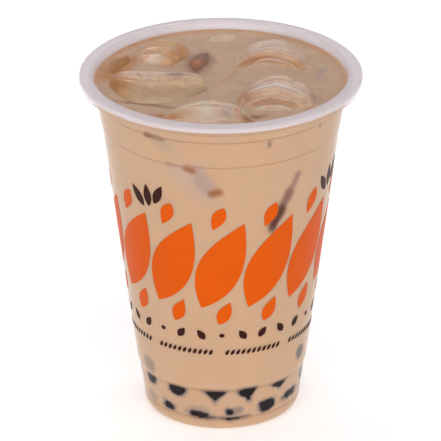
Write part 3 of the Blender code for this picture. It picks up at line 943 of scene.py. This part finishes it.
def pearlShade(patches, angle, height, radius):
    # dark where a pearl touches the wall, and a soft grey edge where the milk in front of it is thin
    haze, dark = 0.0, 0.0
    for patch in patches:
        depth = patchDepth(patch, angle, height, radius)
        haze = max(haze, patch.dark * smoothStep(depth, -1.3, 0.1))
        dark = max(dark, smoothStep(patch.dark, 0.5, 1.0) * smoothStep(depth, -0.35, 0.2))
    return haze, dark


def colourTeaWithShade(piece):
    # milk colour, darker where pearls lie just behind the milk at the wall, with painted shade where sunk ice
    # lies there and along the wall's creases
    milk, crease = toLinear(tea["milk"]), toLinear(tea["crease"])
    dark, haze = toLinear(tea["pearlDark"]), toLinear(tea["pearlHaze"])
    marks = [(mark, toLinear(mark[4])) for mark in sunkIce]
    patches = pearlPatches()
    layer = piece.data.color_attributes.new("drinkColour", "FLOAT_COLOR", "POINT")
    for vertex, point in zip(piece.data.vertices, layer.data):
        x, y, height = vertex.co
        radius = math.hypot(x, y)
        edge = wallRadius(height, cup["wall"] - tea["intoWall"])
        if height > teaLevel - 0.05 * mm:
            colour = surfaceColour(x, y, edge, radius)
        elif radius < edge - 0.3 * mm:
            colour = toLinear(tea["surface"])
        else:
            colour = milk
            angle = wallAngle(x, y)
            if height < tea["pearlTop"]:
                hazeShare, darkShare = pearlShade(patches, angle, height, radius)
                colour = blended(blended(milk, haze, hazeShare), dark, darkShare)
            else:
                # painted shade where sunk ice touches the wall
                for mark, markColour in marks:
                    colour = blended(colour, markColour, sunkShare(mark, angle, height, radius))
            # painted shade along the wall's creases
            nearest = min(abs(height - line) for line in cup["creases"])
            colour = blended(colour, crease, 0.6 * (1.0 - smoothStep(nearest, 0.1 * mm, 0.5 * mm)))
        point.color = (*colour, 1.0)


def makeTea():
    shape = turnedShape(teaProfile(), tea["around"])
    climbIce(shape)
    shape = cutIce(shape)
    openRadius = wallRadius(teaLevel, 1.2 * mm)
    for face in shape.faces:
        middle = face.calc_center_median()
        isOpen = middle.z > teaLevel - 5 * mm and middle.xy.length < openRadius and face.normal.z > -0.3
        face.material_index = int(isOpen)
    behindWall = milkTeaMaterial("milk_tea_behind_plastic", 0.5, 0.06, 14 * mm, 0.03)
    openSurface = milkTeaMaterial("milk_tea_surface", 0.07, 0.5, 8 * mm, 0.09)
    colourTeaWithShade(addPiece("iced_milk_tea", shape, [behindWall, openSurface], ["tea"], 35.0))


# Bubbles: small clusters by their middle, spread, count and size in mm

bubbleClusters = (
    (-25.5, 17.0, 1.6, 5, 0.55), (-33.0, 7.5, 1.8, 6, 0.5), (-28.0, -1.0, 1.2, 4, 0.5),
    (24.0, 17.5, 2.6, 9, 0.45), (9.0, 12.0, 1.4, 7, 0.5), (31.0, -16.0, 1.6, 10, 0.45),
    (-1.0, -29.5, 3.6, 16, 0.5), (5.0, -30.5, 0.9, 4, 0.9), (-7.5, 14.0, 1.8, 9, 0.45),
)


def makeBubbles():
    # drops each one from above onto the ice or the tea
    draw = random.Random(5)
    trees = iceTrees("bubbleCuts", "ridged")
    above = cup["height"] + 3.6 * mm
    shape = bmesh.new()
    for x, y, spread, count, size in bubbleClusters:
        for _ in range(count):
            place = Vector(((x + draw.gauss(0, spread / 2)) * mm, (y + draw.gauss(0, spread / 2)) * mm,
                            above))
            radius = size * draw.uniform(0.55, 1.15) * mm
            hits = [tree.ray_cast(place, Vector((0, 0, -1)))[0] for tree in trees]
            top = max([hit.z for hit in hits if hit] + [teaLevel])
            bmesh.ops.create_icosphere(shape, subdivisions=2, radius=radius,
                                       matrix=Matrix.Translation((place.x, place.y, top + radius * 0.2)))
    addPiece("surface_bubbles", shape, [bubbleMaterial()], [])


# Studio: pale floor, soft lamps and the photo's viewpoint

studio = {
    "floor": "#FAF9F9", "floorHalf": 3.0, "floorGlow": 0.36,
    "sky": "#F7F3F6",
    "skyFront": 2.8, "skyBack": 0.50, "skyTop": 0.38,     # strength towards the camera, behind and overhead
}
# Strip softboxes by place, length, width, power in watts, colour and which way they run; each points at the cup.
# They draw thin bright lines on wet ridges.
softboxes = (
    {"place": (0.0, 0.35, 0.95), "long": 1.2, "wide": 0.03, "power": 3.2, "colour": "#FFFBFA", "run": 0.0},
    {"place": (-0.75, -0.05, 0.80), "long": 0.8, "wide": 0.03, "power": 0.5, "colour": "#FFFAF5", "run": 90.0},
    {"place": (0.10, -0.30, 1.00), "long": 0.4, "wide": 0.05, "power": 0.9, "colour": "#FFF9F4", "run": 0.0},
)
viewpoint = {
    "place": (-0.00032, -2.2791, 1.1104), "pitch": 24.61, "roll": -0.215,
    "focalPixels": 7431.3, "framePixels": 441, "sensor": 36.0,
}


def makeStudio():
    shape = bmesh.new()
    bmesh.ops.create_grid(shape, x_segments=8, y_segments=8, size=studio["floorHalf"])
    # White paper sweep: dull, and lit through a little, so that only a faint shadow shows on it.
    paper = newMaterial("paper_sweep", {
        "Base Color": (*toLinear(studio["floor"]), 1.0), "Roughness": 0.9, "Specular IOR Level": 0.2,
        "Emission Color": (1.0, 1.0, 1.0, 1.0), "Emission Strength": studio["floorGlow"],
    })[0]
    floor = intoScene("floor", meshOf(shape, "floor"))
    floor.data.materials.append(paper)

    world = bpy.data.worlds.new("studio")
    bpy.context.scene.world = world
    world.use_nodes = True
    tree = world.node_tree
    towards = addNode(tree, "ShaderNodeTexCoord").outputs["Generated"]
    parts = addNode(tree, "ShaderNodeSeparateXYZ", {}, {"Vector": towards})
    around = addNode(tree, "ShaderNodeMapRange", {
        "From Min": -1.0, "From Max": -0.35, "To Min": studio["skyFront"], "To Max": studio["skyBack"],
    }, {"Value": parts.outputs["Y"]})
    above = addNode(tree, "ShaderNodeMapRange", {
        "From Min": 0.15, "From Max": 1.0, "To Min": 1.0, "To Max": studio["skyTop"],
    }, {"Value": parts.outputs["Z"]})
    strength = addNode(tree, "ShaderNodeMath", {"operation": "MULTIPLY"},
                       {0: around.outputs["Result"], 1: above.outputs["Result"]})
    sky = tree.nodes["Background"]
    sky.inputs["Color"].default_value = (*toLinear(studio["sky"]), 1.0)
    tree.links.new(strength.outputs["Value"], sky.inputs["Strength"])

    target = Vector((0.0, 0.0, cup["height"] / 2))
    for number, box in enumerate(softboxes):
        lamp = bpy.data.lights.new(f"softbox_{number}", "AREA")
        lamp.shape = "RECTANGLE"
        lamp.size = box["long"]
        lamp.size_y = box["wide"]
        lamp.energy = box["power"]
        lamp.color = toLinear(box["colour"])
        stand = intoScene(lamp.name, lamp)
        stand.location = box["place"]
        aim = (Vector(box["place"]) - target).to_track_quat("Z", "Y").to_matrix()
        stand.rotation_euler = (aim @ Matrix.Rotation(math.radians(box["run"]), 3, "Z")).to_euler()


def makeCamera():
    lens = bpy.data.cameras.new("camera")
    lens.sensor_width = viewpoint["sensor"]
    lens.lens = viewpoint["focalPixels"] / viewpoint["framePixels"] * viewpoint["sensor"]
    lens.clip_start = 0.1
    camera = intoScene("camera", lens)
    tilt = Matrix.Rotation(math.radians(90.0 - viewpoint["pitch"]), 4, "X")
    roll = Matrix.Rotation(math.radians(viewpoint["roll"]), 4, "Z")
    camera.matrix_world = Matrix.Translation(viewpoint["place"]) @ tilt @ roll
    bpy.context.scene.camera = camera


makeCamera()
makeStudio()
bpy.context.scene.view_settings.view_transform = "Standard"
print("studio ready")
makeCup()
print("cup ready")
makeLeafPrint()
makeRowPrint()
print("print ready")
makePearls()
print("pearls ready")
makeIce()
print("ice ready")
makeTea()
print("tea ready")
makeBubbles()
print("bubbles ready")
